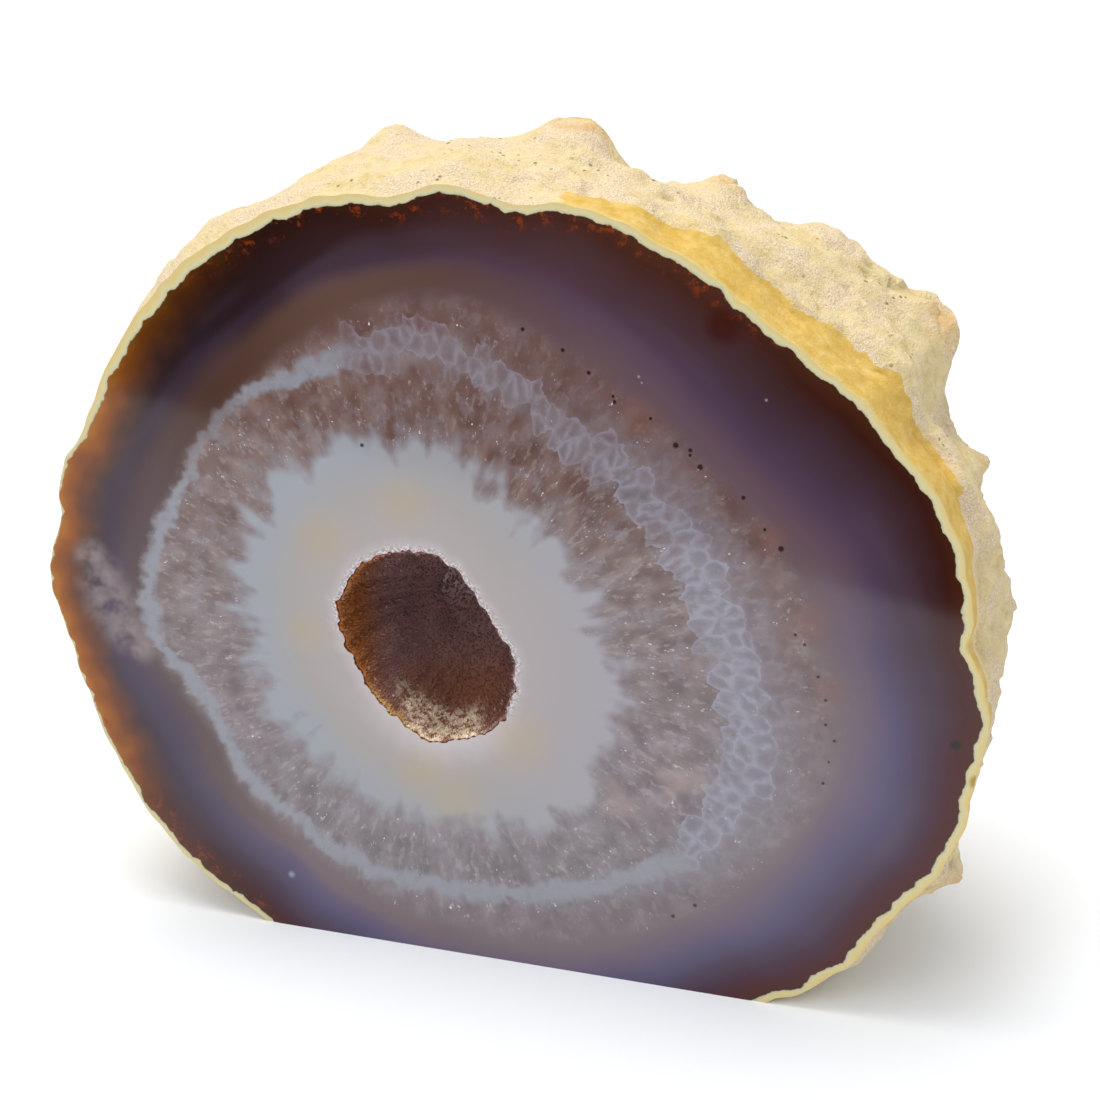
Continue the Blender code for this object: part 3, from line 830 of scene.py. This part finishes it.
# %% The outer agate
def violet_bands(f, outwards):
    """Mauve, violet, then dark brown. The top left is darker and browner."""
    upper = f.ramp(
        outwards, (0.0, "#655157"), (0.14, "#614b56"), (0.35, "#4e3b50"), (0.55, "#43303c"),
        (0.75, "#3c2529"), (0.9, "#381811"), (1.0, "#43200f"),
    )
    lower = f.ramp(
        outwards, (0.0, "#73676c"), (0.18, "#685b70"), (0.38, "#544c6c"), (0.55, "#4a3d55"),
        (0.75, "#422539"), (0.9, "#46181b"), (1.0, "#471910"),
    )
    colour = f.blend(f.step(f.up, 62, 30), upper, lower)
    colour = f.over(colour, "#5a382e", f.step(f.up, 72, 92, 0, 0.3))
    low = f.step(f.up, 34, 20), f.step(f.across, 4, -14)
    colour = f.over(colour, "#756468", *low, f.step(outwards, 0.22, 0.08, 0, 0.8))
    top_left = f.times(f.step(f.across, 2, -28), f.step(f.up, 58, 78))
    colour = f.blend(top_left, colour, "#b8b3b2", "MULTIPLY")
    left = f.step(f.across, 6, -22), f.step(f.up, 44, 66)
    colour = f.over(colour, "#60463d", *left, f.step(outwards, 0.42, 0.16))
    return f.blend(f.step(f.across, -24, -44), colour, "#cdc2bb", "MULTIPLY")


def outer_colour(f, from_tan, from_rind, outwards):
    """The bands with smoky layers, orange agate with a painted glow at the left edge, a white cloud, and rust
    by the rind.
    """
    layers = f.spot(f.times(f.side, 0.3), f.times(f.rise, 0.3), from_tan)
    smoke = f.step(f.grain(layers, 5, 1.5), 0.45, 0.7, 0, 0.16)
    colour = f.over(violet_bands(f, outwards), "#66586a", smoke, f.step(outwards, 0.9, 0.5))
    inward = f.times(f.sum("MULTIPLY_ADD", f.swing(f.flat, 3.4, 1.5), 3, from_rind), -0.125)
    # orange at the left edge: partly the agate's own colour, partly a painted glow where light comes through
    # the thin edge
    orange = f.ramp(inward, (0.0, "#a8671f"), (0.12, "#945213"), (0.35, "#703f20"), (0.7, "#5e4033"))
    left = f.step(f.across, -33, -50), f.step(inward, 0.85, 0.25)
    colour = f.over(colour, orange, *left, f.step(f.up, 82, 60, 0.25), f.step(f.up, 12, 24, 0.2, 0.95))
    wisps = f.step(f.grain(f.flat, 3, 2.5, 0.6), 0.25, 0.65)
    colour = f.over(colour, "#958786", f.patches(WHITE_CLOUD, 1.3, 0.2), wisps, 0.72)
    moss = f.step(f.grain(f.flat, 1.8, 4, 0.75), 0.53, 0.63)
    top = f.times(f.step(f.up, 80, 90), f.step(from_rind, -3, -0.4), 0.8)
    low_left = f.times(f.step(f.across, -30, -36), f.step(from_rind, -3, -0.6), f.step(f.up, 34, 24, 0, 0.8))
    colour = f.over(colour, "#85380f", moss, f.sum("MAXIMUM", top, low_left))
    return f.over(colour, "#3a0e08", f.patches(RED_SPOT, 1, 0.3, 0, 0.6))


def with_outer_agate(f, colour):
    """The outer agate laid over the quartz, with orange tints on its inner border."""
    from_tan, from_rind = f.mark("from_tan"), f.mark("from_rind")
    outwards = f.sum("DIVIDE", from_tan, f.less(from_tan, from_rind))
    outwards = f.sum("MULTIPLY_ADD", f.swing(f.flat, 17, 1), 0.3, outwards)
    outside = f.step(f.sum("MULTIPLY_ADD", f.lobes, 2, from_tan), -2.5, 0.5)
    colour = f.over(colour, outer_colour(f, from_tan, from_rind, outwards), outside)
    return f.over(colour, "#82594b", f.patches(ORANGE_TINTS, 1, 0.1, 0, 0.35))


# %% The lace
def lace_cells(f, bent, lace_width):
    """How far a point is from the wall of its cell, and whether the cell's middle is in the lace."""
    around = f.spot(f.way, f.times(bent, LACE_STRETCH))
    wobble = f.add("ShaderNodeTexNoise", {"Vector": around, "Scale": 0.8, "Detail": 2}, "Color")
    around = f.vector("ADD", around, f.scaled(wobble, LACE_WOBBLE))
    wall = f.cells(around, LACE_CELL, "DISTANCE_TO_EDGE")
    middle = f.part_of(f.cells(around, LACE_CELL, "F1", "Position"), "Y")
    middle = f.sum("DIVIDE", f.less(middle, LACE_WOBBLE / 2), LACE_STRETCH)
    return wall, f.step(f.sum("DIVIDE", f.sum("ABSOLUTE", middle), lace_width), 0.95, 0.7)


def with_lace(f, colour):
    """A pale ribbon where the lace is narrow, and whole cells with pale walls where it is wide."""
    lace_width = f.mark("lace_width")
    bent = f.sum("MULTIPLY_ADD", f.lobes, 3, f.mark("from_lace"))
    wall, inside = lace_cells(f, bent, lace_width)
    wide = f.step(lace_width, 1.9, 2.7)
    cell = f.times(inside, wide)
    beyond = f.step(bent, 0, 2), f.step(f.sum("DIVIDE", bent, lace_width), 2.6, 0.8)
    haze = f.times(*beyond, f.step(f.across, 0, 20))
    uneven = f.step(f.grain(f.flat, 2.4, 2, 0.6), 0.35, 0.62, 0.45)
    colour = f.over(colour, "#837d86", haze, 0.45)
    fill = f.blend(f.step(f.up, 50, 80), "#7d7784", "#6f5a5f")
    colour = f.over(colour, fill, cell, uneven, 0.7)
    soft = f.step(f.grain(f.flat, 1.7, 1), 0.38, 0.6, 0.16, 0.38)
    crisp = f.sum("MAXIMUM", f.step(wall, 0.42, 0.06, 0, 0.55), f.step(wall, soft, 0.03))
    lines = f.times(crisp, f.sum("MAXIMUM", cell, f.times(haze, 0.35)))
    pale = f.blend(f.step(f.up, 50, 80), "#9b99a7", "#8b7f88")
    colour = f.over(colour, pale, lines, uneven, 0.85)
    spikes = f.sum("MAXIMUM", f.less(f.grain(f.rays(0.4), 1.4, 1), 0.45), 0)
    lumps = f.swing(f.flat, 1.2, 2, 0.6)
    jagged = f.sum("MULTIPLY_ADD", spikes, 3, f.sum("MULTIPLY_ADD", lumps, 1.2, bent))
    ribbon = f.step(f.sum("DIVIDE", f.sum("ABSOLUTE", jagged), lace_width), 1.15, 0.3)
    ribbon = f.times(ribbon, f.step(wide, 0, 1, 0.95, 0.25), f.patches(FAINT_LACE, 1.1, 0.2, 1, 0.45))
    return f.over(colour, "#8f9099", ribbon, f.step(lumps, -0.25, 0.1, 0.75))


# %% The cut edge of the rind, and the whole face
def cut_rind(f):
    """How deep in the cut rind a point is, scalloped inside, and its colour from pale to yellow."""
    wave = {"W": f.times(f.way, 0.55), "Scale": 1}
    scallop = f.add("ShaderNodeTexVoronoi", wave, "Distance", voronoi_dimensions="1D")
    deep = f.step(f.grain(f.flat, 3, 1), 0.35, 0.65, 0.1, 1.1)
    scallop = f.times(f.less(0.25, scallop), deep)
    fray = f.times(f.swing(f.flat, 0.9, 3), 0.5)
    inside = f.sum("ADD", f.sum("MULTIPLY_ADD", scallop, 0.8, f.mark("from_rind")), fray)
    cream = f.ramp(f.times(inside, 0.8), (0.0, "#b9b898"), (0.3, "#d3c898"), (0.9, "#d8bf7c"))
    return inside, f.over(cream, "#a5851f", f.patches(OCHRE_SPOTS, 1, 0.4, 0, 0.85))


def polished_agate():
    f = FaceFinish("polished agate")
    colour = with_lace(f, with_outer_agate(f, inner_colour(f)))
    colour = f.over(colour, "#1c0c0e", f.patches(DARK_SPECKS, 1.4, 0.6, 0, 0.85))
    colour = f.over(colour, "#a5a6b5", f.patches(WHITE_SPECKS, 1.4, 0, 0, 0.65))
    inside, cream = cut_rind(f)
    colour = f.over(colour, cream, f.step(inside, -0.08, 0.08))
    f.set(Base_Color=colour, Roughness=f.step(inside, -0.1, 0.3, 0.06, 0.65), IOR=1.46)
    return f.material


# %% [markdown]
# ## The finish of the rind
# The rind is dry, chalky and cream, with pinker grainy patches, orange-tan tips on the knobs, darker
# olive in the pits, dark olive specks, and a smooth ochre-yellow layer where the crust has broken off.

# %% Rind
def rind_finish():
    f = Finish("cream rind")
    spot = f.place()
    behind = f.stone_place()[2]
    sand = f.grain(spot, 0.25, 3, 0.75)
    grainy = f.ramp(sand, (0.36, "#cbb18b"), (0.5, "#e1cdab"), (0.62, "#eddcc0"))
    smooth = f.ramp(f.grain(spot, 2.2, 4, 0.65), (0.3, "#d5bc82"), (0.5, "#e2cd9c"), (0.7, "#ead9ae"))
    cream = f.blend(f.step(f.grain(spot, 7, 4, 0.65), 0.42, 0.58), grainy, smooth)
    tips = f.step(f.mark("knob"), 1.6, 4.6), f.step(f.grain(spot, 3), 0.38, 0.6, 0.1, 0.65)
    cream = f.over(cream, "#d6a052", *tips)
    cream = f.over(cream, "#a08a4c", f.step(f.mark("pit"), 0.15, 0.6, 0, 0.6))
    dirt = f.step(f.cells(spot, 1.15, flat="3D"), 0.27, 0.15), f.step(f.grain(spot, 4.5), 0.55, 0.65)
    cream = f.over(cream, "#6f6134", *dirt, 0.8)
    mottled = f.grain(spot, 1.8, 4, 0.7)
    ochre = f.ramp(mottled, (0.3, "#c39e42"), (0.5, "#d0ac54"), (0.7, "#dbbd74"))
    ochre = f.over(ochre, "#cfbb78", f.step(behind, 0.8, 0, 0, 0.8))
    frayed = f.sum("MULTIPLY_ADD", f.swing(spot, 1), 0.5, f.mark("strip"))
    edge = f.step(frayed, 0.42, 0.55)
    rough = f.sum("ADD", f.grain(spot, 0.35, 3, 0.7), f.grain(spot, 1.1, 3, 0.6))
    relief = f.sum("MULTIPLY_ADD", edge, -0.6, 1)
    f.set(Base_Color=f.over(cream, ochre, edge), Roughness=0.85, Normal=f.bump(rough, 0.35, relief))
    return f.material


# %% [markdown]
# ## The finishes of the base and of the hollow
# The base is sawn but not polished, so it is dull. In the hollow the wall and the crust share one
# colour with painted shade, dark brown above and on the right, and a painted glow, orange-brown where
# light comes through the stone. The crust's lower wall has a painted pool of light besides, a cream
# patch, with a few painted glints.

# %% Sawn base and the wall behind the crystals
def sawn_base():
    f = Finish("sawn agate base")
    spot = f.place()
    colour = f.ramp(f.grain(spot, 11, 3, 0.4, 1), (0.3, "#4a3d48"), (0.5, "#5f5260"), (0.7, "#6e5a52"))
    f.set(Base_Color=colour, Roughness=0.5, IOR=1.54, Normal=f.bump(f.grain(spot, 0.4, 3), 0.05))
    return f.material


def hollow_colour(f, across, up, behind):
    """Painted shade, dark brown above and on the right; painted glow, orange-brown on the left and low down
    and golden by the rim at the lower left, where light comes through the stone.
    """
    colour = f.ramp(f.grain(f.place(), 4), (0.3, "#997473"), (0.5, "#a57e7b"), (0.7, "#b18984"))
    # painted shade: the right of the hollow darker, and its upper right darker still
    colour = f.over(colour, "#765249", f.step(across, -12, -5, 0, 0.5))
    colour = f.over(colour, "#503a35", f.step(up, 38, 46), f.step(across, -16, -9, 0, 0.7))
    # painted glow: orange-brown on the left and low down, where light comes through the stone
    side = f.sum("MULTIPLY_ADD", behind, 0.55, across)
    low = f.times(f.step(up, 36, 29.5, 0, 0.6), f.step(across, -2, -9, 0.3))
    colour = f.over(colour, "#a2602c", f.sum("MAXIMUM", f.step(side, -13.5, -21), low))
    # painted glow: golden at the lower left by the rim, where light comes through the thin rim
    low_left = f.step(up, 35.5, 32, 0, 0.8), f.step(across, -9.5, -13.5)
    return f.over(colour, "#c2985a", *low_left, f.step(behind, 2.2, 0.3))


def hollow_wall_finish():
    f = Finish("agate wall of the hollow")
    f.set(Base_Color=hollow_colour(f, *f.stone_place()), Roughness=0.4, IOR=1.54)
    return f.material


# %% Quartz of the crust
def crust_finish():
    f = Finish("brown quartz crystals")
    across, up, behind = f.stone_place()
    spot = f.place()
    # painted pool of light: a cream, speckled patch low on the wall, where light falls in through the mouth
    right = f.step(f.sum("MULTIPLY_ADD", behind, 0.33, across), -3.8, -5.8)
    left = f.step(f.sum("MULTIPLY_ADD", behind, 0.65, across), -15.5, -13)
    deep = f.step(f.sum("MULTIPLY_ADD", across, -0.35, behind), 16, 12.5)
    lit_patch_speckles = f.step(f.grain(spot, 1.1, 3, 0.65), 0.4, 0.54)
    colour = hollow_colour(f, across, up, behind)
    colour = f.over(colour, "#f6e2c8", f.step(up, 34, 32), lit_patch_speckles, left, right, deep)
    # painted glints: a few crystals near the lower rim made almost white
    painted_glints = f.step(f.cells(spot, 1.7, flat="3D"), 0.2, 0.15)
    colour = f.over(colour, "#fff4df", f.step(up, 37, 33), f.step(behind, 5, 2), painted_glints)
    f.set(Base_Color=colour, Roughness=0.2, IOR=1.54)
    return f.material


for finish in (rind_finish(), polished_agate(), hollow_wall_finish(), sawn_base()):
    skin.materials.append(finish)
quartz = crust_finish()
print("finishes", [material.name for material in skin.materials], quartz.name)

# %% Grow the crystals
crust.modifiers.new("crystals", "NODES").node_group = scatter_tree(point, quartz)
grown = bpy.data.meshes.new_from_object(crust.evaluated_get(bpy.context.evaluated_depsgraph_get()))
crust.modifiers.clear()
crust.data = grown
bpy.data.objects.remove(point)
print("crust triangles", sum(len(p.vertices) - 2 for p in grown.polygons))

# %% [markdown]
# ## Floor and light
# A plain pale floor and soft light from above, as in a product photo. In the photo the polish mirrors
# the near edge of a white table: below a slanting line it is paler. A dark card that only mirrors see
# stands where that edge was, so the polish shows the same line, and no other view shows the card.

# %% Floor
def plain_sheet(name, corners, finish_name, colour, roughness):
    """A flat four-cornered sheet with a plain finish."""
    mesh = bpy.data.meshes.new(name)
    mesh.from_pydata(corners, [], [(0, 1, 2, 3)])
    plain = Finish(finish_name)
    plain.set(Base_Color=colour, Roughness=roughness)
    mesh.materials.append(plain.material)
    return put(name, mesh)


HALF_FLOOR = 2.0
corners = [(x * HALF_FLOOR, y * HALF_FLOOR, 0) for x, y in ((-1, -1), (1, -1), (1, 1), (-1, 1))]
floor = plain_sheet("floor", corners, "pale floor", "#eff2f7", 0.9)

# %% The card that only the polish sees: its ends across and behind, and its height, in millimetres
CARD_ENDS = ((-640.0, -714.0), (230.0, -125.0))
CARD_HEIGHT = 500.0
low_corners = [Vector((x, y, 0)) for x, y in CARD_ENDS]
high_corners = [corner + Vector((0, 0, CARD_HEIGHT)) for corner in reversed(low_corners)]
corners = [tuple(BASE_MIDDLE + corner * MM) for corner in low_corners + high_corners]
card = plain_sheet("dark_card", corners, "dark card", "#201c20", 1.0)
card.visible_camera = card.visible_diffuse = card.visible_shadow = card.visible_transmission = False

# %% Lights
LIT_POINT = (0, 0, 0.05)


def soft_light(name, place, size, power, colour="#ffffff"):
    """A square lamp at a place, turned to face the stone."""
    lamp = bpy.data.lights.new(name, "AREA")
    lamp.size = size
    lamp.energy = power
    lamp.color = paint(colour)[:3]
    holder = put(name, lamp)
    holder.location = place
    holder.rotation_euler = (Vector(LIT_POINT) - Vector(place)).to_track_quat("-Z", "Y").to_euler()


soft_light("overhead", (-0.25, 0.2, 1.1), 0.9, 12.0, "#fffbf4")
soft_light("front fill", (-0.5, -0.9, 0.9), 0.8, 4.2)
soft_light("right fill", (0.95, -0.3, 0.7), 0.8, 2.0)
world = bpy.data.worlds.new("studio")
bpy.context.scene.world = world
world.use_nodes = True
background = world.node_tree.nodes["Background"].inputs
background["Color"].default_value = (0.95, 0.975, 1, 1)
background["Strength"].default_value = 0.55
bpy.context.scene.view_settings.view_transform = "Standard"
print("lamps", [lamp.name for lamp in bpy.data.lights])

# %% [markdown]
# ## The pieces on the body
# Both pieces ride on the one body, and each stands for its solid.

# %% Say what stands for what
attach(stone, "root")
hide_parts("agate_stone")
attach(crust, "root")
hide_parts("hollow_crystals")
